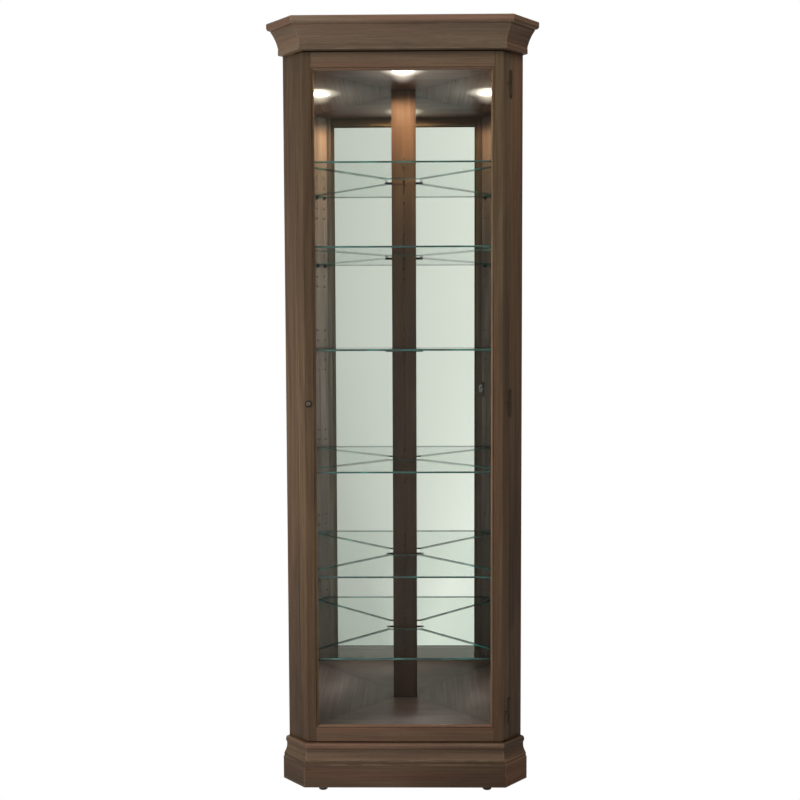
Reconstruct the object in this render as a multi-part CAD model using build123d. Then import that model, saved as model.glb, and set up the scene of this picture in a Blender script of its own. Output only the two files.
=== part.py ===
from build123d import *
import os

# Corner curio cabinet: a five-sided wooden case with mirrored back walls, glass shelves,
# a lamp in the ceiling, screw feet, and one full-height glass door with a cam lock.
#
# Millimetres, +Z up. The origin is on the floor, under the centre of the overall plan.
# The door faces -Y and the corner of the room is towards +Y. The plan is drawn in
# (x, depth), where depth runs back from the front face of the door, and every finished
# piece is moved by FRONT_Y into the part's own frame when it is saved.
# "Out" is the distance that a moulding stands out from the front and side faces.

os.makedirs("parts", exist_ok=True)

# ---- driving dimensions ----
OVERALL_HEIGHT = 2032.0     # 80 inches
OVERALL_DEPTH = 398.0
CROWN_OUT = 53.0
FRONT_HALF = 259.0          # half width of the front face
WALL_RUN = 371.0            # |x| + depth on the outside of the two back walls
REAR_DEPTH = WALL_RUN - 26.0    # the back corner is cut off flat, clear of the room's corner
BOARD = 20.0                # side boards, stiles and rails
BACKING = 22.0              # boards behind the crown and the base mouldings
SHEET = 18.0                # deck, ceiling and top boards
PANEL = 5.0                 # back panels
MIRROR = 4.0
SHELF_GLASS = 5.0
DOOR_GLASS = 4.0
GAP = 2.0                   # between the door's back and the case

PLINTH_LOW = 28.0
PLINTH_HIGH = 99.0
BASE_HIGH = 142.0
DECK_HIGH = 150.0
DOOR_LOW = 145.0
DOOR_HIGH = 1954.5
CEILING_LOW = 1936.0
CROWN_LOW = 1957.5
TOP_LOW = OVERALL_HEIGHT - SHEET

STILE_FACE = 22.8           # front width of the stiles, outside the bead
TOP_RAIL_FACE = 39.3
BOTTOM_RAIL_FACE = 37.3
BEAD = 6.0                  # radius of the bead around the glass
BEAD_DEPTH = 1.0            # from the front face back to the bead
QUIRK = 1.2                 # width of the groove beside the bead
QUIRK_DEPTH = 2.4
LIP = 8.0                   # wood in front of the glass
REBATE = 11.5               # width of the rebate behind the bead and the lip

SHELF_HEIGHTS = (1680.0, 1460.0, 1189.0, 864.0, 582.0, 360.0)
SHELF_FRONT = 30.0
SHELF_REAR = 311.0
SHELF_CLEAR = 2.0
PIN_HOLE_PITCH = 32.0
PIN_HOLES_EACH_WAY = 2
PIN_RADIUS = 2.5
PEG_RADIUS = 3.0
SIDE_PIN_PLACES = (24.0, 54.0)      # distances in front of the wall plane
PIN_DEPTH = 9.0

HINGE_HEIGHT = 63.5
HINGE_OFFSET = 827.0        # upper and lower hinges, from the middle one
KNUCKLE = 4.0
KNUCKLE_ROOM = 0.6          # between a knuckle and the notch it sits in
LEAF = 0.9
HINGE_PIN = 2.0
HINGE_SCREW_PLACES = ((264.0, -22.0), (264.0, 22.0), (272.0, 0.0))      # (x, rise)
RUNNING_GAP = 0.05
SCREW_HEAD = 2.6
SCREW_SHANK = 1.5
CASE_SCREW_TIP = 30.0
DOOR_SCREW_TIP = 9.0

LOCK_X = -249.5
LOCK_Z = 1049.0
LOCK_BARREL = 7.5
LOCK_FLANGE = 2.2
LOCK_PLUG = 5.5
KEYWAY_WIDTH = 1.4
KEYWAY_HEIGHT = 7.2
NUT_THICK = 2.6
NUT_RADIUS = 11.0           # to its corners
CAM_REACH = 22.0
CAM_WIDTH = 12.0
CAM_THICK = 2.0
CAM_FRONT = 25.0
STRIKE = 1.5                # thickness of the strike plate
STRIKE_X = -269.0
STRIKE_WIDTH = 14.0
STRIKE_HEIGHT = 50.0
STRIKE_SCREW_RISE = 20.0
POCKET_BACK = 30.0          # depth of the recess that the nut and the cam turn in

BUMPER_X = -266.0
BUMPER_RADIUS = 4.0
BUMPER_THICK = 1.7
BUMPER_INSET = 60.0         # from the door's ends

LAMP_DEPTH = 112.0
LAMP_RADIUS = 30.0
LAMP_WALL = 1.5
LAMP_HEIGHT = 44.0
TRIM_WIDTH = 4.5            # trim ring outside the housing
TRIM_DROP = 3.5             # below the ceiling
LENS_RADIUS = LAMP_RADIUS - 0.6
LENS_DROP = 2.5
BULB_RADIUS = 18.0
BULB_NECK = 14.0

GROMMET_DEPTH = 290.0
GROMMET_RADIUS = 8.0
GROMMET_BORE = 5.0

FRONT_FOOT = (222.0, 38.0)
REAR_FOOT_ALONG = 296.0     # along the wall
REAR_BLOCK = 40.0           # side of the square rear blocks
FRONT_BLOCK_INNER = 195.0
FRONT_BLOCK_BACK = 52.0
FOOT_BLOCK_HIGH = 90.0
FOOT_RADIUS = 12.0
PAD_HIGH = 9.0
FOOT_NECK = 5.0
HEX_RADIUS = 9.5
HEX_LOW = 17.7
HEX_HIGH = 25.7
FOOT_STEM = 3.95
STEM_HIGH = 78.0
INSERT_RADIUS = 6.0
INSERT_LENGTH = 22.0
INSERT_FLANGE = 11.0
INSERT_FLANGE_THICK = 2.0

# ---- places worked out from them ----
SQRT2 = 2 ** 0.5
MITRE = SQRT2 - 1           # tan of half of 45 degrees
FRONT_Y = CROWN_OUT - OVERALL_DEPTH / 2
END_X = (WALL_RUN + FRONT_HALF) / 2         # where a side face meets the wall plane
END_DEPTH = (WALL_RUN - FRONT_HALF) / 2
CASE_FRONT = BOARD + GAP
INNER_SIDE = FRONT_HALF - BOARD * SQRT2     # |x| - depth on the inside of the side boards
MIRROR_FACE = PANEL + MIRROR                # from the wall plane to the mirror's face
POST_FACE = 323.3                           # depth of the back post's front face
POST_HALF = WALL_RUN - MIRROR_FACE * SQRT2 - POST_FACE
POST_EDGE = (END_X - POST_HALF) * SQRT2 - MIRROR_FACE   # along the wall, from its front end
HINGE_HEIGHTS = [LOCK_Z - HINGE_OFFSET, LOCK_Z, LOCK_Z + HINGE_OFFSET]
HINGE_DEPTH = BOARD + GAP / 2
HINGE_X = FRONT_HALF + HINGE_DEPTH          # the pin is in the plane of the side face
HINGE_SCREWS = [(x, z + rise) for z in HINGE_HEIGHTS for x, rise in HINGE_SCREW_PLACES]
STRIKE_SCREWS = [(STRIKE_X, LOCK_Z + rise) for rise in (-STRIKE_SCREW_RISE, STRIKE_SCREW_RISE)]


def save(name, shape):
    """Write one sub-part, moved from (x, depth) into the part's own frame."""
    solids = [Pos(0, FRONT_Y, 0) * solid for solid in shape.solids()]
    piece = solids[0] if len(solids) == 1 else Compound(children=solids)
    export_step(piece, "parts/" + name + ".step")


def save_pair(name, right):
    """Write the right-hand piece and its mirror image on the left."""
    save("right_" + name, right)
    save("left_" + name, mirror(right, about=Plane.YZ))


def wall(along, inward):
    """Plan point on the right: along the wall from its front end, and in from the wall."""
    return (END_X - (along + inward) / SQRT2, END_DEPTH + (along - inward) / SQRT2)


def corner(out):
    """Plan point on the mitre line at the right front corner."""
    return (FRONT_HALF + out * MITRE, -out)


def tip(out):
    """Plan point at the wall end of the right return."""
    return (END_X + out / SQRT2, END_DEPTH - out / SQRT2)


def both_sides(right_points):
    """Close a plan outline given on its right half, from front to back."""
    return right_points + [(-x, depth) for x, depth in reversed(right_points)]


def prism(outline, low, high):
    """Upright prism on a plan outline."""
    face = make_face(Polyline(*outline, close=True))
    return Pos(0, 0, low) * extrude(face, high - low, dir=(0, 0, 1))


def block(x_span, depth_span, z_span):
    """Box between three pairs of limits."""
    size = [high - low for low, high in (x_span, depth_span, z_span)]
    middle = [(high + low) / 2 for low, high in (x_span, depth_span, z_span)]
    return Pos(*middle) * Box(*size)


def post_rod(x, depth, low, high, radius):
    """Upright cylinder."""
    return Pos(x, depth, (low + high) / 2) * Cylinder(radius, high - low)


def level_rod(x, z, front, back, radius):
    """Cylinder that runs front to back."""
    return Pos(x, (front + back) / 2, z) * Rot(90, 0, 0) * Cylinder(radius, back - front)


def rod_between(start, end, radius):
    """Cylinder from one point to another."""
    axis = Vector(*end) - Vector(*start)
    plane = Plane(origin=start, z_dir=axis)
    return extrude(plane * Circle(radius), axis.length)


def bores(spots, front, back, radius):
    """Front-to-back holes at a list of (x, z) spots."""
    return group([level_rod(x, z, front, back, radius) for x, z in spots])


def screws(spots, front, back, tip):
    """Screws at (x, z) spots: heads from front to back, shanks on to the tip's depth."""
    ends = sorted((front, back, tip))
    heads = [level_rod(x, z, front, back, SCREW_HEAD) for x, z in spots]
    shanks = [level_rod(x, z, ends[0], ends[-1], SCREW_SHANK) for x, z in spots]
    return [head + shank for head, shank in zip(heads, shanks)]


def hinge_notches():
    """Round notches for the knuckles, across the joint between the door and the case."""
    reach = HINGE_HEIGHT / 2 + 3
    radius = KNUCKLE + KNUCKLE_ROOM
    return group([post_rod(HINGE_X, HINGE_DEPTH, z - reach, z + reach, radius) for z in HINGE_HEIGHTS])


def group(shapes):
    """Separate solids that share one node."""
    return Compound(children=[solid for shape in shapes for solid in shape.solids()])


# ---- case ----
def side_board():
    """Right side return: rabbeted for the back panel, bored for shelf pins."""
    outline = [(FRONT_HALF + CASE_FRONT, CASE_FRONT), (INNER_SIDE + CASE_FRONT, CASE_FRONT)]
    outline += [wall(BOARD, PANEL), wall(BOARD / 2, PANEL), wall(BOARD / 2, 0), wall(0, 0)]
    board = prism(outline, PLINTH_LOW, TOP_LOW)
    for inward in SIDE_PIN_PLACES:
        for z in pin_hole_heights():
            board -= side_pin_rod(inward, z, -PIN_DEPTH, 0.01, PIN_RADIUS)
    return board


def pin_hole_heights():
    """Heights of the shelf-pin holes: a short row around each shelf."""
    steps = range(-PIN_HOLES_EACH_WAY, PIN_HOLES_EACH_WAY + 1)
    return [shelf_pin_height(z) + step * PIN_HOLE_PITCH for z in SHELF_HEIGHTS for step in steps]


def shelf_pin_height(shelf_z):
    """Height of a pin's axis under a shelf centred at shelf_z."""
    return shelf_z - SHELF_GLASS / 2 - PEG_RADIUS


def side_pin_rod(inward, z, start, end, radius):
    """Cylinder square to the right side board's inner face, which is at 0."""
    ends = [wall(BOARD + reach, inward) for reach in (start, end)]
    return rod_between((*ends[0], z), (*ends[1], z), radius)


def back_post():
    """Flat-faced post in the back corner, bored for the rear shelf pins."""
    right = [(POST_HALF, POST_FACE), wall(POST_EDGE, 0), (WALL_RUN - REAR_DEPTH, REAR_DEPTH)]
    post = prism(both_sides(right), PLINTH_LOW, TOP_LOW)
    for z in pin_hole_heights():
        post -= level_rod(0, z, POST_FACE - 0.01, POST_FACE + PIN_DEPTH, PIN_RADIUS)
    return post


def back_panel():
    return prism([wall(BOARD / 2, 0), wall(POST_EDGE, 0), wall(POST_EDGE, PANEL),
                  wall(BOARD / 2, PANEL)], PLINTH_LOW, TOP_LOW)


def mirror_sheet():
    play = 0.3
    front = BOARD + play
    rear = POST_EDGE - play
    return prism([wall(front, PANEL), wall(rear, PANEL), wall(rear, MIRROR_FACE),
                  wall(front, MIRROR_FACE)], DECK_HIGH, CEILING_LOW - play)


def inside_sheet(front, low, high):
    """Board that fills the case between the side boards, the back panels and the post."""
    right = [(INNER_SIDE + front, front), wall(BOARD, PANEL), wall(POST_EDGE, PANEL)]
    right += [wall(POST_EDGE, MIRROR_FACE)]
    return prism(both_sides(right), low, high)


def front_backing(low, high):
    """Board behind the front moulding, with its ends in line with the side returns."""
    right = [(FRONT_HALF, 0), (FRONT_HALF + CASE_FRONT, CASE_FRONT)]
    return prism(both_sides(right), low, high)


def top_board():
    hole = post_rod(0, GROMMET_DEPTH, TOP_LOW - 1, OVERALL_HEIGHT + 1, GROMMET_RADIUS)
    right = [(FRONT_HALF, 0), (END_X, END_DEPTH), (WALL_RUN - REAR_DEPTH, REAR_DEPTH)]
    return prism(both_sides(right), TOP_LOW, OVERALL_HEIGHT) - hole


def cable_grommet():
    body = post_rod(0, GROMMET_DEPTH, TOP_LOW - 2, OVERALL_HEIGHT - 0.5, GROMMET_RADIUS)
    return body - post_rod(0, GROMMET_DEPTH, TOP_LOW - 3, OVERALL_HEIGHT, GROMMET_BORE)


side = side_board()
strike_x = (STRIKE_X - STRIKE_WIDTH / 2, STRIKE_X + STRIKE_WIDTH / 2)
strike_z = (LOCK_Z - STRIKE_HEIGHT / 2, LOCK_Z + STRIKE_HEIGHT / 2)
strike = block(strike_x, (CASE_FRONT, CASE_FRONT + STRIKE), strike_z)
lock_pocket = block((strike_x[1], LOCK_X + NUT_RADIUS), (CASE_FRONT - 1, POCKET_BACK),
                    (LOCK_Z - NUT_RADIUS - 3, LOCK_Z + CAM_REACH + 6))
cam_slot = level_rod(LOCK_X, LOCK_Z, CASE_FRONT + STRIKE, POCKET_BACK, CAM_REACH + 2)
strike_holes = bores(STRIKE_SCREWS, CASE_FRONT + STRIKE, CASE_SCREW_TIP, SCREW_SHANK)
left_side = mirror(side, about=Plane.YZ) - strike - lock_pocket - cam_slot - strike_holes
right_side = side - bores(HINGE_SCREWS, CASE_FRONT, CASE_SCREW_TIP, SCREW_SHANK)
save("right_side_board", right_side - hinge_notches())
save("left_side_board", left_side)
save("lock_strike", strike - bores(STRIKE_SCREWS, CASE_FRONT, CASE_FRONT + STRIKE, SCREW_HEAD))
save("back_post", back_post())
save_pair("back_panel", back_panel())
save_pair("mirror", mirror_sheet())
save("deck_board", inside_sheet(CASE_FRONT, DECK_HIGH - SHEET, DECK_HIGH))
header_back = CASE_FRONT + BOARD
ceiling = inside_sheet(header_back, CEILING_LOW, CEILING_LOW + SHEET)
ceiling -= post_rod(0, LAMP_DEPTH, CEILING_LOW - 1, CEILING_LOW + SHEET + 1, LAMP_RADIUS + 0.5)
save("ceiling_board", ceiling)
header_right = [(INNER_SIDE + CASE_FRONT, CASE_FRONT), (INNER_SIDE + header_back, header_back)]
save("header_rail", prism(both_sides(header_right), CEILING_LOW, TOP_LOW))
save("frieze_board", front_backing(CROWN_LOW, TOP_LOW))
save("base_front_board", front_backing(PLINTH_LOW, BASE_HIGH))
save("top_board", top_board())
save("cable_grommet", cable_grommet())
base_rail = prism([wall(BOARD, PANEL), wall(POST_EDGE, PANEL), wall(POST_EDGE, PANEL + SHEET),
                   wall(BOARD, PANEL + SHEET)], PLINTH_LOW, DECK_HIGH - SHEET)
save_pair("base_rail", base_rail)


# ---- mouldings: one profile each, mitred at the front corners, cut off at the walls ----
def moulding(profile, name):
    """Front piece and two returns from a profile of (out, z) edges."""
    plane = Plane(origin=(0, 0, 0), x_dir=(0, -1, 0), z_dir=(-1, 0, 0))
    run = extrude(plane * make_face(profile), 2 * FRONT_HALF, both=True)
    reach = 2 * CROWN_OUT
    front_zone = prism(both_sides([corner(reach), corner(0)]), 0, OVERALL_HEIGHT)
    side_zone = prism([corner(reach), tip(reach), tip(0), corner(0)], 0, OVERALL_HEIGHT)
    side_run = Pos(FRONT_HALF, 0, 0) * Rot(0, 0, 45) * run
    save(name + "_front", run & front_zone)
    save(name + "_right", side_run & side_zone)
    save(name + "_left", mirror(side_run & side_zone, about=Plane.YZ))


BAND_OUT = 15.5             # flat band at the foot of the crown
BAND_HIGH = 1971.0
COVE_OUT = 39.0             # front edge of the big cove, under the top slab
COVE_MIDDLE = (23.0, 1992.5)
SLAB_TOP_ROUND = 4.0
SLAB_ROUND = 7.0            # under the front of the top slab
EDGE = 1.5                  # small rounds and steps
crown_profile = Polyline((BAND_OUT - 1, BAND_HIGH + EDGE), (BAND_OUT, BAND_HIGH),
                         (BAND_OUT, CROWN_LOW + 2))
crown_profile += RadiusArc((BAND_OUT, CROWN_LOW + 2), (BAND_OUT - 2, CROWN_LOW), 2)
crown_profile += Polyline((BAND_OUT - 2, CROWN_LOW), (0, CROWN_LOW), (0, OVERALL_HEIGHT),
                          (CROWN_OUT - SLAB_TOP_ROUND, OVERALL_HEIGHT))
crown_profile += RadiusArc((CROWN_OUT - SLAB_TOP_ROUND, OVERALL_HEIGHT),
                           (CROWN_OUT, OVERALL_HEIGHT - SLAB_TOP_ROUND), SLAB_TOP_ROUND)
crown_profile += Line((CROWN_OUT, OVERALL_HEIGHT - SLAB_TOP_ROUND), (CROWN_OUT, TOP_LOW + SLAB_ROUND))
crown_profile += RadiusArc((CROWN_OUT, TOP_LOW + SLAB_ROUND), (CROWN_OUT - SLAB_ROUND, TOP_LOW),
                           SLAB_ROUND)
crown_profile += Polyline((CROWN_OUT - SLAB_ROUND, TOP_LOW), (COVE_OUT, TOP_LOW),
                          (COVE_OUT, TOP_LOW - 2))
crown_profile += ThreePointArc((COVE_OUT, TOP_LOW - 2), COVE_MIDDLE, (BAND_OUT - 1, BAND_HIGH + EDGE))
moulding(crown_profile, "crown")

CAP_OUT = 9.0               # flat between the cap's bead and its cove
CAP_LEDGE = 17.0            # top of the plinth's upper step
CAP_BEAD_LOW = 126.0
CAP_BEAD_OUT = 3.5          # how far the bead stands out from that flat
CAP_COVE_HIGH = 123.0
CAP_COVE_MIDDLE = (11.5, 108.0)
cap_profile = Polyline((CAP_OUT, BASE_HIGH), (0, BASE_HIGH), (0, PLINTH_HIGH),
                       (CAP_LEDGE, PLINTH_HIGH))
cap_profile += Line((CAP_LEDGE, PLINTH_HIGH), (CAP_LEDGE, PLINTH_HIGH + EDGE))
cap_profile += ThreePointArc((CAP_LEDGE, PLINTH_HIGH + EDGE), CAP_COVE_MIDDLE, (CAP_OUT, CAP_COVE_HIGH))
cap_profile += Line((CAP_OUT, CAP_COVE_HIGH), (CAP_OUT, CAP_BEAD_LOW))
cap_bead_middle = (CAP_OUT + CAP_BEAD_OUT, (CAP_BEAD_LOW + BASE_HIGH) / 2)
cap_profile += ThreePointArc((CAP_OUT, CAP_BEAD_LOW), cap_bead_middle, (CAP_OUT, BASE_HIGH))
moulding(cap_profile, "base_cap")

PLINTH_OUT = 21.0
STEP_OUT = CAP_LEDGE + EDGE
STEP_LOW = 90.0
plinth_profile = Polyline((CAP_LEDGE, PLINTH_HIGH), (0, PLINTH_HIGH), (0, PLINTH_LOW),
                          (PLINTH_OUT - EDGE, PLINTH_LOW))
plinth_profile += RadiusArc((PLINTH_OUT - EDGE, PLINTH_LOW), (PLINTH_OUT, PLINTH_LOW + EDGE), -EDGE)
plinth_profile += Line((PLINTH_OUT, PLINTH_LOW + EDGE), (PLINTH_OUT, STEP_LOW - 2))
plinth_profile += RadiusArc((PLINTH_OUT, STEP_LOW - 2), (PLINTH_OUT - 2, STEP_LOW), -2)
plinth_profile += Polyline((PLINTH_OUT - 2, STEP_LOW), (STEP_OUT, STEP_LOW),
                           (STEP_OUT, PLINTH_HIGH - EDGE))
plinth_profile += RadiusArc((STEP_OUT, PLINTH_HIGH - EDGE), (CAP_LEDGE, PLINTH_HIGH), -EDGE)
moulding(plinth_profile, "plinth")


# ---- feet ----
def foot_block(outline, x, depth):
    """Wooden block bored for its insert, with room above for the foot's stem."""
    bore = post_rod(x, depth, PLINTH_LOW - 1, PLINTH_LOW + INSERT_LENGTH, INSERT_RADIUS)
    clear = post_rod(x, depth, PLINTH_LOW, FOOT_BLOCK_HIGH + 1, FOOT_STEM + 1)
    return prism(outline, PLINTH_LOW, FOOT_BLOCK_HIGH) - bore - clear


def foot_insert(x, depth):
    """Threaded insert with a flange under the block."""
    flange = post_rod(x, depth, PLINTH_LOW - INSERT_FLANGE_THICK, PLINTH_LOW, INSERT_FLANGE)
    barrel = post_rod(x, depth, PLINTH_LOW, PLINTH_LOW + INSERT_LENGTH, INSERT_RADIUS)
    bore = post_rod(x, depth, 0, FOOT_BLOCK_HIGH, FOOT_STEM + RUNNING_GAP)
    return flange + barrel - bore


def leveller(x, depth):
    """Screw foot: domed pad, hexagon for a spanner, and a long stem."""
    pad = post_rod(x, depth, 0, PAD_HIGH, FOOT_RADIUS)
    pad = fillet(pad.edges().group_by(Axis.Z)[-1], 5)
    pad = chamfer(pad.edges().group_by(Axis.Z)[0], 1)
    neck = post_rod(x, depth, PAD_HIGH - 1, HEX_LOW + 0.3, FOOT_NECK)
    hexagon = extrude(RegularPolygon(HEX_RADIUS, 6), HEX_HIGH - HEX_LOW)
    stem = post_rod(x, depth, HEX_LOW + 0.3, STEM_HIGH, FOOT_STEM)
    return pad + neck + Pos(x, depth, HEX_LOW) * hexagon + stem


rear_foot = wall(REAR_FOOT_ALONG, PANEL + SHEET + REAR_BLOCK / 2)
front_x, front_depth = FRONT_FOOT
front_block_plan = [(FRONT_BLOCK_INNER, CASE_FRONT), (INNER_SIDE + CASE_FRONT, CASE_FRONT),
                    (INNER_SIDE + FRONT_BLOCK_BACK, FRONT_BLOCK_BACK),
                    (FRONT_BLOCK_INNER, FRONT_BLOCK_BACK)]
block_ends = (REAR_FOOT_ALONG - REAR_BLOCK / 2, REAR_FOOT_ALONG + REAR_BLOCK / 2)
block_front = PANEL + SHEET
block_back = block_front + REAR_BLOCK
rear_block_plan = [wall(block_ends[0], block_front), wall(block_ends[1], block_front),
                   wall(block_ends[1], block_back), wall(block_ends[0], block_back)]
front_block = foot_block(front_block_plan, front_x, front_depth)
rear_block = foot_block(rear_block_plan, *rear_foot)
inserts = [foot_insert(front_x, front_depth), foot_insert(*rear_foot)]
feet = {"front": leveller(front_x, front_depth), "rear": leveller(*rear_foot)}
blocks = [front_block, rear_block]
save("foot_blocks", group(blocks + [mirror(b, about=Plane.YZ) for b in blocks]))
save("foot_inserts", group(inserts + [mirror(i, about=Plane.YZ) for i in inserts]))
for place, foot in feet.items():
    save_pair(place + "_foot", foot)


# ---- shelves and their pins ----
def shelf(z):
    """Glass shelf, cut square at the back corner."""
    side_line = INNER_SIDE - SHELF_CLEAR * SQRT2
    wall_line = WALL_RUN - (MIRROR_FACE + SHELF_CLEAR) * SQRT2
    right = [(side_line + SHELF_FRONT, SHELF_FRONT)]
    right += [((wall_line + side_line) / 2, (wall_line - side_line) / 2)]
    right += [(wall_line - SHELF_REAR, SHELF_REAR)]
    return prism(both_sides(right), z - SHELF_GLASS / 2, z + SHELF_GLASS / 2)


def side_pin(inward, z):
    spigot = side_pin_rod(inward, z, -PIN_DEPTH, 0, PIN_RADIUS)
    collar = side_pin_rod(inward, z, 0, 1.2, PEG_RADIUS)
    peg = side_pin_rod(inward, z, 1.2, 10, PEG_RADIUS)
    return spigot + collar + peg


def rear_pin(z):
    spigot = level_rod(0, z, POST_FACE, POST_FACE + PIN_DEPTH, PIN_RADIUS)
    return spigot + level_rod(0, z, SHELF_REAR - 8, POST_FACE, PEG_RADIUS)


pins = []
for number, shelf_z in enumerate(SHELF_HEIGHTS, start=1):
    save("glass_shelf_" + str(number), shelf(shelf_z))
    pin_z = shelf_pin_height(shelf_z)
    right_pins = [side_pin(inward, pin_z) for inward in SIDE_PIN_PLACES]
    pins += right_pins + [mirror(pin, about=Plane.YZ) for pin in right_pins]
    pins.append(rear_pin(pin_z))
save("shelf_pins", group(pins))


# ---- lamp in the ceiling ----
lamp_top = CEILING_LOW + LAMP_HEIGHT
inside = LAMP_RADIUS - LAMP_WALL
housing = post_rod(0, LAMP_DEPTH, CEILING_LOW, lamp_top, LAMP_RADIUS)
housing -= post_rod(0, LAMP_DEPTH, CEILING_LOW - 1, lamp_top - 2, inside)
trim = post_rod(0, LAMP_DEPTH, CEILING_LOW - TRIM_DROP, CEILING_LOW, LAMP_RADIUS + TRIM_WIDTH)
trim = chamfer(trim.edges().group_by(Axis.Z)[0], 1.5)
trim -= post_rod(0, LAMP_DEPTH, CEILING_LOW - TRIM_DROP - 1, CEILING_LOW + 1, LENS_RADIUS + 0.1)
lens = post_rod(0, LAMP_DEPTH, CEILING_LOW - LENS_DROP, CEILING_LOW, LENS_RADIUS)
lens += post_rod(0, LAMP_DEPTH, CEILING_LOW, CEILING_LOW + 2, inside)
bulb = post_rod(0, LAMP_DEPTH, lamp_top - 20, lamp_top - 2, BULB_NECK)
bulb += post_rod(0, LAMP_DEPTH, lamp_top - 24, lamp_top - 20, BULB_RADIUS)
save("lamp_housing", housing)
save("lamp_trim_ring", trim)
save("lamp_lens", lens)
save("lamp_bulb", bulb)

# ---- door ----
def frame_section(front, back, lip, outward):
    """Section of a stile or rail in (across, depth), with a bead at its lip.

    front and back are the ends of its outer edge; outward is +1 or -1, from the lip to them.
    """
    bead_edge = lip + outward * BEAD
    face_edge = bead_edge + outward * QUIRK
    rebate = lip + outward * REBATE
    bead_start = (lip, BEAD_DEPTH + BEAD)
    bead_end = (bead_edge, BEAD_DEPTH)
    rise = BEAD * (1 - 1 / SQRT2)
    edges = ThreePointArc(bead_start, (lip + outward * rise, BEAD_DEPTH + rise), bead_end)
    edges += Polyline(bead_end, (bead_edge, QUIRK_DEPTH), (face_edge, QUIRK_DEPTH), (face_edge, 0),
                      (front, 0), (back, BOARD), (rebate, BOARD), (rebate, LIP), (lip, LIP), bead_start)
    return make_face(edges)


sticking = BEAD + QUIRK
lip_half = FRONT_HALF - STILE_FACE - sticking
lip_high = DOOR_HIGH - TOP_RAIL_FACE - sticking
lip_low = DOOR_LOW + BOTTOM_RAIL_FACE + sticking
rebate_half = lip_half + REBATE
stop_low = lip_low - REBATE
stop_high = lip_high + REBATE
stile_section = frame_section(FRONT_HALF, FRONT_HALF + BOARD, lip_half, 1)
right_stile = Pos(0, 0, DOOR_LOW) * extrude(stile_section, DOOR_HIGH - DOOR_LOW, dir=(0, 0, 1))
left_stile = mirror(right_stile, about=Plane.YZ)
rail_ends = left_stile + right_stile


def rail(outer, lip, outward):
    """Cross rail, coped over the beads of the two stiles."""
    upright = Plane(origin=(0, 0, 0), x_dir=(0, 0, 1), z_dir=(-1, 0, 0))
    section = upright * frame_section(outer, outer, lip, outward)
    return extrude(section, rebate_half, both=True) - rail_ends


glass_low = stop_low + 2
glass_high = stop_high - 2
glass_half = rebate_half - 2
glass_back = LIP + 0.2 + DOOR_GLASS
hinge_holes = bores(HINGE_SCREWS, DOOR_SCREW_TIP, BOARD, SCREW_SHANK)
save("door_right_stile", right_stile - hinge_holes - hinge_notches())
save("door_left_stile", left_stile - level_rod(LOCK_X, LOCK_Z, -1, BOARD + 1, LOCK_BARREL))
save("door_top_rail", rail(DOOR_HIGH, lip_high, 1))
save("door_bottom_rail", rail(DOOR_LOW, lip_low, -1))
save("door_glass", block((-glass_half, glass_half), (glass_back - DOOR_GLASS, glass_back),
                         (glass_low, glass_high)))
stop_depths = (glass_back + 0.2, BOARD - 0.5)
stop_x = (lip_half + 4, rebate_half)
side_stop = block(stop_x, stop_depths, (stop_low, stop_high))
stops = [side_stop, mirror(side_stop, about=Plane.YZ)]
stop_width = stop_x[1] - stop_x[0]
for low in (stop_low, stop_high - stop_width):
    stops.append(block((-stop_x[0], stop_x[0]), stop_depths, (low, low + stop_width)))
save("glass_stops", group(stops))
save("door_bumpers", bores([(BUMPER_X, DOOR_LOW + BUMPER_INSET), (BUMPER_X, DOOR_HIGH - BUMPER_INSET)],
                           BOARD, BOARD + BUMPER_THICK, BUMPER_RADIUS))

# ---- hinges: five knuckles, the odd ones on the case ----
segment_height = HINGE_HEIGHT / 5
leaf_x = (256.0, HINGE_X - KNUCKLE - 0.4)
door_leaf_depths = (BOARD, BOARD + LEAF)
case_leaf_depths = (CASE_FRONT - LEAF, CASE_FRONT)


def hinge_leaf(z, leaf_depths, segments):
    """One leaf with its knuckles, around a hinge centred at z."""
    low = z - HINGE_HEIGHT / 2
    leaf = block(leaf_x, leaf_depths, (low, low + HINGE_HEIGHT))
    for segment in segments:
        foot = low + segment * segment_height + 0.1
        head = foot + segment_height - 0.2
        leaf += block((leaf_x[1], HINGE_X), leaf_depths, (foot, head))
        leaf += post_rod(HINGE_X, HINGE_DEPTH, foot, head, KNUCKLE)
    bore = HINGE_PIN + RUNNING_GAP
    leaf -= post_rod(HINGE_X, HINGE_DEPTH, low - 1, low + HINGE_HEIGHT + 1, bore)
    return leaf - bores(HINGE_SCREWS, *leaf_depths, SCREW_HEAD)


def hinge_pin(z):
    """Pin with a button at each end."""
    low = z - HINGE_HEIGHT / 2
    high = z + HINGE_HEIGHT / 2
    pin = post_rod(HINGE_X, HINGE_DEPTH, low, high, HINGE_PIN)
    for end in (low - 2, high):
        pin += post_rod(HINGE_X, HINGE_DEPTH, end, end + 2, KNUCKLE - 0.6)
    return pin


save("hinge_door_leaves", group([hinge_leaf(z, door_leaf_depths, (1, 3)) for z in HINGE_HEIGHTS]))
save("hinge_case_leaves", group([hinge_leaf(z, case_leaf_depths, (0, 2, 4)) for z in HINGE_HEIGHTS]))
save("hinge_pins", group([hinge_pin(z) for z in HINGE_HEIGHTS]))
case_screws = screws(HINGE_SCREWS, *case_leaf_depths, CASE_SCREW_TIP)
case_screws += screws(STRIKE_SCREWS, CASE_FRONT, CASE_FRONT + STRIKE, CASE_SCREW_TIP)
save("case_screws", group(case_screws))
save("door_screws", group(screws(HINGE_SCREWS, *door_leaf_depths, DOOR_SCREW_TIP)))

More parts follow.
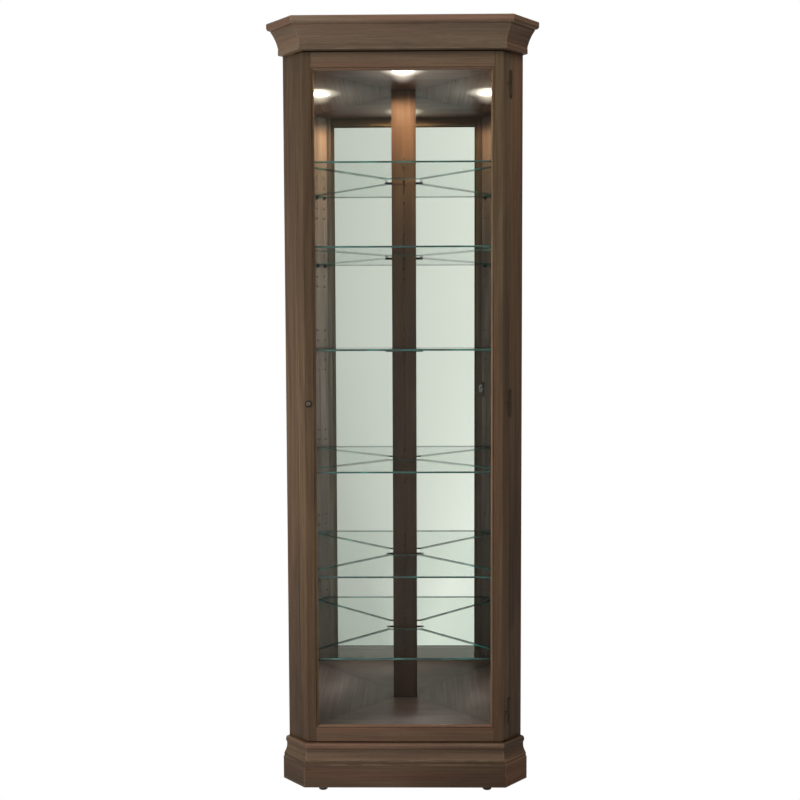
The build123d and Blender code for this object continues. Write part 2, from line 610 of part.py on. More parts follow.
# ---- lock: barrel and nut on the door, and a plug that turns the cam ----
plug_bore = level_rod(LOCK_X, LOCK_Z, -5, 30, LOCK_PLUG + RUNNING_GAP)
barrel = level_rod(LOCK_X, LOCK_Z, 0, CAM_FRONT - 1, LOCK_BARREL)
flange = level_rod(LOCK_X, LOCK_Z, -LOCK_FLANGE, 0, LOCK_BARREL + 1.5)
hexagon = extrude(RegularPolygon(NUT_RADIUS, 6), NUT_THICK)
nut = Pos(LOCK_X, BOARD + NUT_THICK, LOCK_Z) * Rot(90, 0, 0) * hexagon
nut -= level_rod(LOCK_X, LOCK_Z, BOARD - 1, BOARD + NUT_THICK + 1, LOCK_BARREL)
keyway_x = (LOCK_X - KEYWAY_WIDTH / 2, LOCK_X + KEYWAY_WIDTH / 2)
keyway_z = (LOCK_Z - KEYWAY_HEIGHT / 2, LOCK_Z + KEYWAY_HEIGHT / 2)
plug = level_rod(LOCK_X, LOCK_Z, -LOCK_FLANGE - 0.6, CAM_FRONT, LOCK_PLUG)
plug -= block(keyway_x, (-LOCK_FLANGE - 1, CAM_FRONT / 2), keyway_z)
half_cam = CAM_WIDTH / 2
cam_back = CAM_FRONT + CAM_THICK
cam = level_rod(LOCK_X, LOCK_Z, CAM_FRONT, cam_back, half_cam)
cam += block((LOCK_X - half_cam, LOCK_X + half_cam), (CAM_FRONT, cam_back),
             (LOCK_Z, LOCK_Z + CAM_REACH - 3))
cam_screw = level_rod(LOCK_X, LOCK_Z, cam_back, cam_back + 2, 3.5)
save("lock_barrel", barrel + flange - plug_bore)
save("lock_nut", nut)
save("lock_plug", plug)
save("lock_cam", cam + cam_screw)
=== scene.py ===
"""Looks for the corner china cabinet: stained wood, mirrors, glass shelves, hardware and a lit lamp.

Metres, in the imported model's own frame: the door faces -Y, +Z is up, and the floor is at z = 0.
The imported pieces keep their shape. Each gets a material from nodes and softened edges, and the
nails that hold the back panels are made here.
"""
import math

import bmesh
import bpy
from mathutils import Euler, Matrix, Vector


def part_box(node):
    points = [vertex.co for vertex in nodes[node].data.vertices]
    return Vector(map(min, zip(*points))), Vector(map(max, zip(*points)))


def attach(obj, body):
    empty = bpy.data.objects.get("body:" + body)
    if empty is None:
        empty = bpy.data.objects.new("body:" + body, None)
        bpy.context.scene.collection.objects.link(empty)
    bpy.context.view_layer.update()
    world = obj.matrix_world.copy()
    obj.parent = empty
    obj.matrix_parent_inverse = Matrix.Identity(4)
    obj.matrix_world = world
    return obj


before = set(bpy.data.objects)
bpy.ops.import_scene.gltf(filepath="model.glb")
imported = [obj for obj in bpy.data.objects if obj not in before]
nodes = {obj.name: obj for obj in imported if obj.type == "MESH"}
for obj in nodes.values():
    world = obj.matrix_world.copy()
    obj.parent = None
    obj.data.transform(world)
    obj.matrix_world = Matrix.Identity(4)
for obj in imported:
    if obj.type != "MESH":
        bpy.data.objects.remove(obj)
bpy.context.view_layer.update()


def add_object(name, data):
    """A new object in the scene, which shows the given mesh, light or camera."""
    made = bpy.data.objects.new(name, data)
    bpy.context.scene.collection.objects.link(made)
    return made


# ---- camera: a long way back, a little above the middle, looking slightly down ----
CAMERA_PLACE = (0.0195, -2.792, 1.215)
CAMERA_DOWN = 0.059
CAMERA_LEFT = 0.011
CAMERA_ROLL = -0.0037
CAMERA_LENS = 45.58         # in millimetres, like the sensor
SENSOR = 36.0


def set_camera():
    """The scene's camera, with its turns in radians."""
    data = bpy.data.cameras.new("camera")
    data.lens = CAMERA_LENS
    data.sensor_width = SENSOR
    camera = add_object("camera", data)
    aim = Euler((math.pi / 2 - CAMERA_DOWN, 0, CAMERA_LEFT)).to_matrix()
    aim = aim @ Matrix.Rotation(CAMERA_ROLL, 3, "Z")
    camera.location = CAMERA_PLACE
    camera.rotation_euler = aim.to_euler()
    bpy.context.scene.camera = camera


# ---- building materials from nodes ----
def srgb(red, green, blue):
    """A linear colour from 8-bit sRGB values."""
    shares = [value / 255 for value in (red, green, blue)]
    linear = [s / 12.92 if s <= 0.04045 else ((s + 0.055) / 1.055) ** 2.4 for s in shares]
    return (*linear, 1.0)


class Shader:
    """A material or a world, with a short call for each kind of node that is used here."""

    def __init__(self, name, collection="materials"):
        self.owner = getattr(bpy.data, collection).new(name)
        self.owner.use_nodes = True
        self.tree = self.owner.node_tree
        self.tree.nodes.clear()

    def node(self, kind, inputs=None, **settings):
        """One node. Each input is a constant or another node's output."""
        made = self.tree.nodes.new("ShaderNode" + kind)
        for key, value in settings.items():
            setattr(made, key, value)
        for key, value in (inputs or {}).items():
            if isinstance(value, bpy.types.NodeSocket):
                self.tree.links.new(value, made.inputs[key])
            else:
                made.inputs[key].default_value = value
        return made

    def calc(self, operation, *values, clamp=False):
        inputs = dict(enumerate(values))
        return self.node("Math", inputs, operation=operation, use_clamp=clamp).outputs[0]

    def mix(self, share, first, second, mode="MIX"):
        inputs = {0: share, 6: first, 7: second}
        return self.node("Mix", inputs, data_type="RGBA", blend_type=mode).outputs[2]

    def between(self, value, low, high, start=0.0, end=1.0):
        """A smooth change from start to end as value goes from low to high."""
        inputs = {"Value": value, "From Min": low, "From Max": high, "To Min": start, "To Max": end}
        return self.node("MapRange", inputs, interpolation_type="SMOOTHSTEP").outputs[0]

    def ramp(self, value, stops):
        made = self.node("ValToRGB", {"Fac": value})
        elements = made.color_ramp.elements
        while len(elements) < len(stops):
            elements.new(0.5)
        for element, (place, colour) in zip(elements, stops):
            element.position = place
            element.color = colour
        return made.outputs["Color"]

    def space(self, turn=(0, 0, 0), offset=(0, 0, 0)):
        """Places on the piece in metres, turned and then offset."""
        place = self.node("TexCoord").outputs["Object"]
        turned = self.node("Mapping", {"Vector": place, "Rotation": turn, "Location": offset})
        return turned.outputs[0]

    def noise(self, space, scale, detail=2.0, distortion=0.0):
        """Noise with the given number of cycles per metre in each direction."""
        scaled = self.node("Mapping", {"Vector": space, "Scale": scale}).outputs[0]
        inputs = {"Vector": scaled, "Scale": 1.0, "Detail": detail, "Distortion": distortion}
        return self.node("TexNoise", inputs).outputs[0]

    def edges(self, radius, gain):
        """1 along the piece's edges, and 0 away from them."""
        rounded = self.node("Bevel", {"Radius": radius}, samples=4).outputs["Normal"]
        facing = self.node("NewGeometry").outputs["Normal"]
        inputs = {0: rounded, 1: facing}
        alike = self.node("VectorMath", inputs, operation="DOT_PRODUCT").outputs["Value"]
        return self.calc("MULTIPLY", self.calc("SUBTRACT", 1.0, alike), gain, clamp=True)

    def facing(self):
        """The X, Y and Z of the face's own normal."""
        normal = self.node("NewGeometry").outputs["True Normal"]
        return self.node("SeparateXYZ", {0: normal}).outputs

    def bump(self, height, distance, strength):
        inputs = {"Height": height, "Distance": distance, "Strength": strength}
        return self.node("Bump", inputs).outputs[0]

    def principled(self, **inputs):
        names = {key.replace("_", " ").title().replace("Ior", "IOR"): v for key, v in inputs.items()}
        return self.node("BsdfPrincipled", names).outputs[0]

    def done(self, surface):
        self.node("OutputMaterial", {"Surface": surface})
        return self.owner


# ---- wood ----
QUARTER = math.pi / 2
EIGHTH = math.pi / 4
GRAIN = {       # turns that bring the grain's direction to the material's own Z
    "upright": (0, 0, 0),
    "across": (0, -QUARTER, 0),
    "left": (QUARTER, EIGHTH, 0),
    "right": (QUARTER, -EIGHTH, 0),
}
STAIN = {
    "dark": srgb(72, 53, 36),
    "middle": srgb(87, 66, 45),
    "light": srgb(101, 79, 55),
    "red": srgb(98, 64, 44),
    "green": srgb(86, 72, 47),
    "worn": srgb(150, 125, 100),
}
VENEER = {
    "dark": srgb(82, 62, 49),
    "middle": srgb(98, 77, 62),
    "light": srgb(112, 91, 74),
    "red": srgb(104, 77, 61),
    "green": srgb(97, 80, 62),
    "worn": srgb(146, 120, 96),
}
PINE = {
    "dark": srgb(176, 138, 92),
    "middle": srgb(205, 172, 124),
    "light": srgb(222, 194, 150),
    "red": srgb(190, 140, 92),
    "green": srgb(200, 172, 120),
    "worn": srgb(226, 202, 164),
}

# Each board's colour beside the rest, as shares of red, green and blue: partly how it took the stain,
# and partly painted light and shade for how brightly that board is lit.
BOARD_STAIN_AND_LIGHT = {
    "left_side_board": (0.76, 0.72, 0.675),
    "right_side_board": (1.07, 0.98, 0.9),
    "door_left_stile": (0.53, 0.49, 0.435),
    "door_right_stile": (0.9, 0.92, 0.9),
    "door_top_rail": (1.17, 1.22, 1.34),
    "door_bottom_rail": (1.36, 1.33, 1.47),
    "back_post": (0.7, 0.62, 0.6),
    "crown_front": (1.46, 1.62, 1.98),
    "crown_left": (1.4, 1.5, 1.7),
    "crown_right": (1.55, 1.5, 1.65),
    "frieze_board": (0.85, 0.85, 0.95),
    "base_cap_front": (1.34, 1.34, 1.54),
    "plinth_front": (1.0, 0.94, 1.0),
    "plinth_left": (0.76, 0.68, 0.58),
    "plinth_right": (2.1, 1.68, 1.32),
    "ceiling_board": (0.7, 0.53, 0.46),
    "deck_board": (0.84, 0.83, 0.94),
}

# Painted lamp light on the faces of side boards and stiles that look into the cabinet, as shares of red,
# green and blue.
INWARD_LAMP_LIGHT = {"left": (1.6, 1.8, 2.75), "right": (1.45, 1.7, 2.6)}
# Which way along X the stile's lip lies, and the painted highlights on its lip and on its outer edge.
STILE_HIGHLIGHT = {"left": (1.0, 2.1, 1.17), "right": (-1.0, 1.4, 1.17)}
# Painted light and shade that changes with height: two heights in metres, and the brightness below the
# first and above the second.
INWARD_LIGHT_BY_HEIGHT = (1.6, 1.9, 1.0, 1.6)
LIGHT_BY_HEIGHT = {
    "left_side_board": (0.2, 1.9, 0.88, 0.95),
    "right_side_board": (0.2, 1.9, 0.8, 1.22),
    "door_left_stile": (0.2, 1.9, 1.2, 0.93),
    "door_right_stile": (0.2, 1.9, 1.28, 0.9),
    "back_post": (1.45, 1.85, 0.74, 1.36),
    "crown_front": (1.965, 1.985, 0.78, 1.12),
    "base_cap_front": (0.12, 0.13, 0.97, 1.18),
}
FACES_IN = 0.3              # a normal's least Y on a face that looks into the cabinet
RING_GLOW = 0.7             # of the light on the ceiling close to the lens
POOL_GLOW = 0.08
LAMP_WARMTH = (1.0, 0.9, 0.76, 1.0)


def lens_place(rise):
    """The point that is the given height above the underside of the lamp's lens."""
    low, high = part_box("lamp_lens")
    return (low.x + high.x) / 2, (low.y + high.y) / 2, low.z + rise


def lamp_spill(shader):
    """Light thrown on the ceiling around the lens: a bright ring inside a wide, faint pool."""
    place = shader.node("TexCoord").outputs["Object"]
    away = shader.node("VectorMath", {0: place, 1: lens_place(0)}, operation="DISTANCE").outputs["Value"]
    ring = shader.between(away, 0.028, 0.07, RING_GLOW, 0.0)
    pool = shader.between(away, 0.03, 0.17, POOL_GLOW, 0.0)
    return shader.calc("ADD", ring, pool)


def painted_light_by_height(shader, height, fade):
    """Painted light and shade that changes with height, by one of the rows above."""
    low, high, below, above = fade
    return shader.between(height, low, high, below, above)


def board_shares(shader, name, side, height):
    """The board's shares of red, green and blue. They are higher on faces that look inwards, as painted
    lamp light.
    """
    shares = BOARD_STAIN_AND_LIGHT.get(name, (1.0, 1.0, 1.0))
    if not name.endswith(("side_board", "stile")):
        return shares
    # Painted lamp light on faces that look into the cabinet, stronger near the top.
    painted_lamp_light = painted_light_by_height(shader, height, INWARD_LIGHT_BY_HEIGHT)
    inner = shader.calc("GREATER_THAN", shader.facing()["Y"], FACES_IN)
    tones = [shader.calc("MULTIPLY_ADD", painted_lamp_light, share * inside, -share)
             for share, inside in zip(shares, INWARD_LAMP_LIGHT[side])]
    return [shader.calc("MULTIPLY_ADD", inner, tone, share) for tone, share in zip(tones, shares)]


def wood(name, grain, seed, colours=STAIN, coat=0.08, sawn=(13, 1.1), streaked=0.48,
         worn=(0.0022, 0.3)):
    """Stained wood: broad figure, growth rings, streaks, fibres, pores, worn edges that are partly a
    painted highlight, painted shade in corners, and painted light and shade on each board.

    sawn is the figure's cycles per metre across and along the grain, streaked the share of fine
    streaks in the colour, and worn the width of a rubbed edge and how much stain it has lost; the
    lighter edge is partly a painted highlight.
    """
    shader = Shader("wood_" + name)
    space = shader.space(GRAIN[grain], (1.7 * seed, 0.9 * seed, 2.3 * seed))
    figure = shader.noise(space, (sawn[0], sawn[0], sawn[1]), 3.0, 0.7)
    rings = shader.calc("PINGPONG", shader.calc("MULTIPLY", figure, 9.0), 1.0)
    streaks = shader.noise(space, (150, 150, 3.2), 5.0, 0.3)
    fibres = shader.noise(space, (620, 620, 11))
    pores = shader.noise(space, (1500, 1500, 50))
    streaky = shader.calc("MULTIPLY", streaks, streaked)
    body = shader.calc("MULTIPLY_ADD", figure, 0.86 - streaked, streaky)
    body = shader.calc("MULTIPLY_ADD", rings, 0.14, body)
    spread = 0.12 if grain == "across" else 0.0
    stops = [(0.36 - spread, colours["dark"]), (0.49, colours["middle"])]
    stops.append((0.64 + spread, colours["light"]))
    colour = shader.ramp(body, stops)
    reddish = shader.noise(space, (24, 24, 0.9), 2.0)
    redness = 0.38 if grain == "upright" else 0.55
    colour = shader.mix(shader.between(reddish, 0.47, 0.66, 0.0, redness), colour, colours["red"])
    greenish = shader.noise(space, (17, 17, 0.7), 2.0, 0.4)
    colour = shader.mix(shader.between(greenish, 0.53, 0.7, 0.0, 0.15), colour, colours["green"])
    pore = shader.between(pores, 0.34, 0.42, 0.72, 1.0)
    shade = shader.calc("MULTIPLY", shader.between(fibres, 0.25, 0.75, 0.84, 1.14), pore)
    # Painted shade: darker in corners and recesses, where shade falls.
    corners = shader.node("AmbientOcclusion", {"Distance": 0.012}, samples=6).outputs["AO"]
    shade = shader.calc("MULTIPLY", shade, shader.between(corners, 0.3, 0.9, 0.55, 1.0))
    height = shader.node("SeparateXYZ", {0: shader.node("TexCoord").outputs["Object"]}).outputs["Z"]
    # Painted light and shade: some boards lighter or darker towards the top or the bottom, by how the
    # light falls on them.
    if name in LIGHT_BY_HEIGHT:
        shade = shader.calc("MULTIPLY", shade, painted_light_by_height(shader, height, LIGHT_BY_HEIGHT[name]))
    side = "left" if "left" in name else "right"
    shares = board_shares(shader, name, side, height)
    if name.endswith("stile"):
        across, lip_highlight, outer_highlight = STILE_HIGHLIGHT[side]
        # Painted highlights: brighter on the face of the lip and on the stile's outer angled edge.
        toward = shader.calc("MULTIPLY", shader.facing()["X"], across)
        shade = shader.calc("MULTIPLY", shade, shader.between(toward, 0.15, 0.7, 1.0, lip_highlight))
        shade = shader.calc("MULTIPLY", shade, shader.between(toward, -0.6, -0.3, outer_highlight, 1.0))
    shades = [shader.calc("MULTIPLY", shade, share) for share in shares]
    tint = shader.node("CombineColor", dict(enumerate(shades))).outputs[0]
    colour = shader.mix(1.0, colour, tint, "MULTIPLY")
    # Lighter edges: partly rubbed stain, partly a painted highlight along them.
    rubbed = shader.noise(space, (60, 60, 18), 2.0)
    width, most = worn
    patches = shader.between(rubbed, 0.4, 0.6, 0.05, most)
    wear_and_highlight = shader.calc("MULTIPLY", shader.edges(width, 9.0), patches)
    wear_and_highlight = shader.calc("MULTIPLY", wear_and_highlight, shader.between(corners, 0.5, 0.9, 0.0, 1.0))
    colour = shader.mix(wear_and_highlight, colour, colours["worn"])
    relief = shader.calc("MULTIPLY_ADD", fibres, 0.5, pore)
    spill = {}
    if name == "ceiling_board":
        spill = {"emission_color": LAMP_WARMTH, "emission_strength": lamp_spill(shader)}
    surface = shader.principled(
        base_color=colour,
        roughness=shader.between(streaks, 0.3, 0.7, 0.52, 0.38),
        normal=shader.bump(relief, 0.00025, 0.35),
        specular_ior_level=0.25,
        coat_weight=coat,
        coat_roughness=0.3,
        **spill,
    )
    return shader.done(surface)


def hardboard():
    """Brown hardboard: fine chips pressed flat, with faint broad clouds."""
    shader = Shader("hardboard")
    space = shader.space()
    clouds = shader.noise(space, (6, 6, 4), 3.0)
    chips = shader.noise(space, (420, 420, 260), 3.0, 1.2)
    body = shader.calc("MULTIPLY_ADD", clouds, 0.3, shader.calc("MULTIPLY", chips, 0.7))
    stops = [(0.36, srgb(122, 91, 65)), (0.5, srgb(150, 116, 85)), (0.64, srgb(178, 143, 106))]
    surface = shader.principled(
        base_color=shader.ramp(body, stops),
        roughness=shader.between(chips, 0.3, 0.7, 0.85, 0.62),
        normal=shader.bump(chips, 0.0003, 0.5),
        specular_ior_level=0.3,
    )
    return shader.done(surface)


# ---- mirror and glass ----
RIM_TILT = 0.6              # a shelf's face is part of its rim when its normal's Z is under this


def silvered():
    """Mirror glass: a faint green cast, and a breath of haze in patches."""
    shader = Shader("silvered")
    haze = shader.noise(shader.space(), (3, 3, 2), 4.0)
    surface = shader.principled(
        base_color=(0.845, 0.862, 0.82, 1.0),
        metallic=1.0,
        roughness=shader.between(haze, 0.3, 0.8, 0.0, 0.012),
        normal=shader.bump(shader.noise(shader.space(), (7, 7, 5), 1.0), 0.0002, 0.02),
    )
    return shader.done(surface)


def see_through(shader, tint, ior, smear):
    """Thin glass: clear, with a reflection on the outside of each face."""
    inside = shader.node("NewGeometry").outputs["Backfacing"]
    outside = shader.calc("SUBTRACT", 1.0, inside)
    shine = shader.calc("MULTIPLY", shader.node("Fresnel", {"IOR": ior}).outputs[0], outside)
    clear = shader.node("BsdfTransparent", {"Color": tint}).outputs[0]
    gloss = shader.node("BsdfAnisotropic", {"Roughness": smear}).outputs[0]
    return shader.node("MixShader", {0: shine, 1: clear, 2: gloss}).outputs[0]


def door_pane():
    shader = Shader("door_pane")
    smear = shader.between(shader.noise(shader.space(), (5, 5, 3), 3.0), 0.4, 0.7, 0.0, 0.02)
    return shader.done(see_through(shader, (0.985, 0.995, 0.988, 1.0), 1.22, smear))


def shelf_pane():
    """Clear on its faces, deep green at its edges."""
    shader = Shader("shelf_pane")
    smear = shader.between(shader.noise(shader.space(), (9, 9, 9), 3.0), 0.4, 0.7, 0.0, 0.03)
    faces = see_through(shader, (0.95, 0.982, 0.965, 1.0), 1.6, smear)
    depth = shader.noise(shader.space(), (16, 16, 160), 2.0)
    stops = [(0.35, srgb(6, 34, 29)), (0.52, srgb(16, 64, 54)), (0.68, srgb(48, 110, 93))]
    rim = shader.principled(
        base_color=shader.ramp(depth, stops),
        roughness=shader.between(depth, 0.3, 0.7, 0.12, 0.3),
        coat_weight=0.3,
    )
    is_rim = shader.calc("LESS_THAN", shader.calc("ABSOLUTE", shader.facing()["Z"]), RIM_TILT)
    return shader.done(shader.node("MixShader", {0: is_rim, 1: faces, 2: rim}).outputs[0])


# ---- metal, plastic and the lamp ----
def metal(name, dark, light, worn, smooth, rough, lit=0.0):
    """Satin metal with faint marks, and brighter along its edges: partly rubbed wear, partly a painted
    highlight.

    smooth and rough are its least and greatest roughness, and lit is light that it gives off.
    """
    shader = Shader(name)
    space = shader.space()
    marks = shader.noise(space, (260, 260, 90), 3.0)
    colour = shader.ramp(marks, [(0.35, dark), (0.65, light)])
    # Lighter edges: partly rubbed wear, partly a painted highlight.
    colour = shader.mix(shader.edges(0.0008, 0.8), colour, worn)
    surface = shader.principled(
        base_color=colour,
        metallic=0.9,
        roughness=shader.between(marks, 0.3, 0.7, smooth, rough),
        normal=shader.bump(marks, 0.00005, 0.2),
        emission_color=LAMP_WARMTH,
        emission_strength=lit,
    )
    return shader.done(surface)


def moulded(name, dark, light, rough):
    """Plastic or rubber with a fine moulded texture."""
    shader = Shader(name)
    pits = shader.noise(shader.space(), (900, 900, 900), 2.0)
    scuffs = shader.noise(shader.space(), (120, 120, 60), 3.0)
    surface = shader.principled(
        base_color=shader.ramp(scuffs, [(0.35, dark), (0.65, light)]),
        roughness=shader.between(scuffs, 0.3, 0.7, rough, rough - 0.12),
        normal=shader.bump(pits, 0.0001, 0.3),
    )
    return shader.done(surface)


def lit_lens():
    """Frosted glass, brightest in front of the bulb."""
    shader = Shader("lit_lens")
    low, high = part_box("lamp_lens")
    middle = (low + high) / 2
    place = shader.space(offset=(-middle.x, -middle.y, 0))
    flat = shader.node("Mapping", {"Vector": place, "Scale": (1, 1, 0)}).outputs[0]
    radius = shader.node("VectorMath", {0: flat}, operation="LENGTH").outputs["Value"]
    glow = shader.ramp(shader.calc("DIVIDE", radius, (high.x - low.x) / 2),
                       [(0.1, (1.0, 0.96, 0.88, 1.0)), (1.0, (1.0, 0.8, 0.55, 1.0))])
    frost = shader.noise(shader.space(), (900, 900, 900), 2.0)
    surface = shader.principled(
        base_color=srgb(238, 232, 220),
        roughness=shader.between(frost, 0.3, 0.7, 0.4, 0.6),
        normal=shader.bump(frost, 0.0001, 0.4),
        emission_color=glow,
        emission_strength=5.0,
    )
    return shader.done(surface)


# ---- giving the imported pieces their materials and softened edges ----
MERGE = 0.00001             # faces whose corners are closer than this share them
SHARP = math.radians(28)    # a corner is real when its faces meet at more than this


def smoothed_shape():
    """A geometry group that joins a piece's faces and keeps only its real corners sharp."""
    group = bpy.data.node_groups.new("smoothed_shape", "GeometryNodeTree")
    for way in ("INPUT", "OUTPUT"):
        group.interface.new_socket("Geometry", in_out=way, socket_type="NodeSocketGeometry")
    add = group.nodes.new
    start = add("NodeGroupInput")
    plain = add("GeometryNodeRemoveAttribute")
    plain.inputs["Name"].default_value = "custom_normal"
    welded = add("GeometryNodeMergeByDistance")
    welded.inputs["Distance"].default_value = MERGE
    smooth = add("GeometryNodeSetShadeSmooth")
    creased = add("GeometryNodeSetShadeSmooth")
    creased.domain = "EDGE"
    creased.inputs["Shade Smooth"].default_value = False
    angle = add("GeometryNodeInputMeshEdgeAngle")
    sharp = add("FunctionNodeCompare")
    sharp.inputs[1].default_value = SHARP
    end = add("NodeGroupOutput")
    link = group.links.new
    link(start.outputs[0], plain.inputs["Geometry"])
    link(plain.outputs[0], welded.inputs["Geometry"])
    link(welded.outputs[0], smooth.inputs["Geometry"])
    link(smooth.outputs[0], creased.inputs["Geometry"])
    link(angle.outputs["Unsigned Angle"], sharp.inputs[0])
    link(sharp.outputs[0], creased.inputs["Selection"])
    link(creased.outputs[0], end.inputs[0])
    return group


SMOOTHED = smoothed_shape()


def finish_node(name, material, edge=0.0):
    """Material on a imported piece, and its edges rounded by the given width."""
    piece = nodes[name]
    piece.data.materials.clear()
    piece.data.materials.append(material)
    shape = piece.modifiers.new("smoothed", "NODES")
    shape.node_group = SMOOTHED
    if edge:
        bevel = piece.modifiers.new("soft_edges", "BEVEL")
        bevel.width = edge
        bevel.segments = 2
        bevel.limit_method = "ANGLE"
        bevel.angle_limit = SHARP
        bevel.use_clamp_overlap = False
        weighted = piece.modifiers.new("flat_faces", "WEIGHTED_NORMAL")
        weighted.keep_sharp = True


WOODEN = {
    "upright": ["back_post", "left_side_board", "right_side_board", "door_left_stile",
                "door_right_stile", "glass_stops"],
    "across": ["base_cap_front", "base_front_board", "crown_front", "frieze_board", "header_rail",
               "plinth_front", "door_top_rail", "door_bottom_rail"],
    "left": ["crown_left", "base_cap_left", "plinth_left"],
    "right": ["crown_right", "base_cap_right", "plinth_right"],
}
BOARD_EDGE = 0.0006
MOULDING_EDGE = 0.0003
HARDWARE_EDGE = 0.0002
SHELF_EDGE = 0.0005
# The lighter edges are partly rubbed stain and partly a painted highlight.
WORN_BOARD = (0.0022, 0.25)      # how far the stain has rubbed away from an edge, and how much
WORN_MOULDING = (0.004, 0.6)

seed = 0
for grain, names in WOODEN.items():
    for name in names:
        seed += 1
        moulded_piece = name.startswith(("crown", "base_cap", "plinth"))
        edge = MOULDING_EDGE if moulded_piece else BOARD_EDGE
        rub = WORN_MOULDING if moulded_piece else WORN_BOARD
        finish_node(name, wood(name, grain, seed, worn=rub), edge)

for name in ("deck_board", "ceiling_board", "top_board"):
    seed += 1
    finish_node(name, wood(name, "across", seed, VENEER, 0.08, (7, 2.4), 0.16), BOARD_EDGE)

pine = wood("pine", "across", 40, PINE, 0.0)
for name in ("foot_blocks", "left_base_rail", "right_base_rail"):
    finish_node(name, pine, BOARD_EDGE)

board = hardboard()
for name in ("left_back_panel", "right_back_panel"):
    finish_node(name, board)

mirror_finish = silvered()
for name in ("left_mirror", "right_mirror"):
    finish_node(name, mirror_finish)

shelf_finish = shelf_pane()
for name in nodes:
    if name.startswith("glass_shelf"):
        finish_node(name, shelf_finish, SHELF_EDGE)
finish_node("door_glass", door_pane())

bronze = metal("bronze", srgb(30, 27, 25), srgb(50, 44, 39), srgb(112, 98, 82), 0.26, 0.42)
finish_node("lock_barrel", bronze, HARDWARE_EDGE)
# The lock plug is a lighter metal with lighter rubbed edges, partly a painted highlight for the glints
# on the lock.
rubbed = metal("rubbed_bronze", srgb(70, 62, 54), srgb(120, 108, 94), srgb(190, 172, 148), 0.22, 0.36)
finish_node("lock_plug", rubbed, HARDWARE_EDGE)
antique = metal("antique_bronze", srgb(60, 51, 40), srgb(84, 71, 55), srgb(118, 100, 78), 0.4, 0.55)
for name in ("hinge_case_leaves", "hinge_door_leaves", "hinge_pins", "case_screws", "door_screws",
             "lock_strike"):
    finish_node(name, antique, HARDWARE_EDGE)

NICKEL = (srgb(150, 147, 140), srgb(196, 192, 184), srgb(224, 221, 214))
nickel = metal("nickel", *NICKEL, 0.18, 0.36)
for name in ("lock_nut", "lock_cam", "foot_inserts", "lamp_housing"):
    finish_node(name, nickel, HARDWARE_EDGE)
finish_node("lamp_trim_ring", metal("lit_nickel", *NICKEL, 0.3, 0.45, 0.7), HARDWARE_EDGE)
dull = metal("dull_steel", srgb(48, 50, 47), srgb(74, 76, 71), srgb(112, 114, 107), 0.42, 0.56)
finish_node("shelf_pins", dull, HARDWARE_EDGE)

glide = moulded("glide", srgb(66, 56, 44), srgb(98, 84, 67), 0.6)
for side in ("left", "right"):
    for end in ("front", "rear"):
        finish_node(side + "_" + end + "_foot", glide, HARDWARE_EDGE)

rubber = moulded("rubber", srgb(24, 24, 24), srgb(40, 39, 38), 0.75)
for name in ("cable_grommet", "door_bumpers"):
    finish_node(name, rubber, HARDWARE_EDGE)

lens = lit_lens()
for name in ("lamp_lens", "lamp_bulb"):
    finish_node(name, lens, HARDWARE_EDGE)

# ---- nails that hold the back panels ----
ROOT_HALF = math.sqrt(0.5)
PANEL_THICK = 0.005
NAIL_RADIUS = 0.0021
NAIL_RISE = 0.0004
NAIL_PITCH = 0.098
NAIL_INSET = 0.005          # from the panel's front edge, over the side board
LOWEST_NAIL = 0.03          # above the panel's foot
ROW_START = 0.06            # from the panel's front edge
ROW_HEIGHTS = (0.141, 1.945)    # over the edges of the deck and of the ceiling board


def nail_spots():
    """(along, z) of the nails on one panel: a column at its front edge, and two rows."""
    low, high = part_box("right_back_panel")
    length = (high.x - low.x - PANEL_THICK * ROOT_HALF) / ROOT_HALF
    in_column = int((high.z - low.z) / NAIL_PITCH)
    in_row = int(length / NAIL_PITCH)
    spots = [(NAIL_INSET, low.z + LOWEST_NAIL + index * NAIL_PITCH) for index in range(in_column)]
    for z in ROW_HEIGHTS:
        spots += [(ROW_START + index * NAIL_PITCH, z) for index in range(in_row)]
    return spots


def nail_heads():
    """Low domed heads, standing a little proud of both back panels."""
    low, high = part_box("right_back_panel")
    start = Vector((high.x, low.y + PANEL_THICK * ROOT_HALF, 0))
    along = Vector((-ROOT_HALF, ROOT_HALF, 0))
    out = Vector((ROOT_HALF, ROOT_HALF, 0))
    turn = out.to_track_quat("Z", "Y").to_matrix().to_4x4()
    work = bmesh.new()
    for run, z in nail_spots():
        place = start + along * run + Vector((0, 0, z))
        head = bmesh.ops.create_uvsphere(work, u_segments=14, v_segments=8, radius=NAIL_RADIUS)
        flatten = Matrix.Diagonal((1, 1, NAIL_RISE / NAIL_RADIUS, 1))
        bmesh.ops.transform(work, matrix=Matrix.Translation(place) @ turn @ flatten,
                            verts=head["verts"])
    both = work.verts[:] + work.edges[:] + work.faces[:]
    copied = bmesh.ops.duplicate(work, geom=both)["geom"]
    other = [item for item in copied if isinstance(item, bmesh.types.BMVert)]
    bmesh.ops.scale(work, vec=(-1, 1, 1), verts=other)
    bmesh.ops.recalc_face_normals(work, faces=work.faces)
    mesh = bpy.data.meshes.new("back_panel_nails")
    work.to_mesh(mesh)
    work.free()
    mesh.polygons.foreach_set("use_smooth", [True] * len(mesh.polygons))
    mesh.materials.append(nickel)
    piece = add_object("back_panel_nails", mesh)
    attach(piece, "case")


nail_heads()


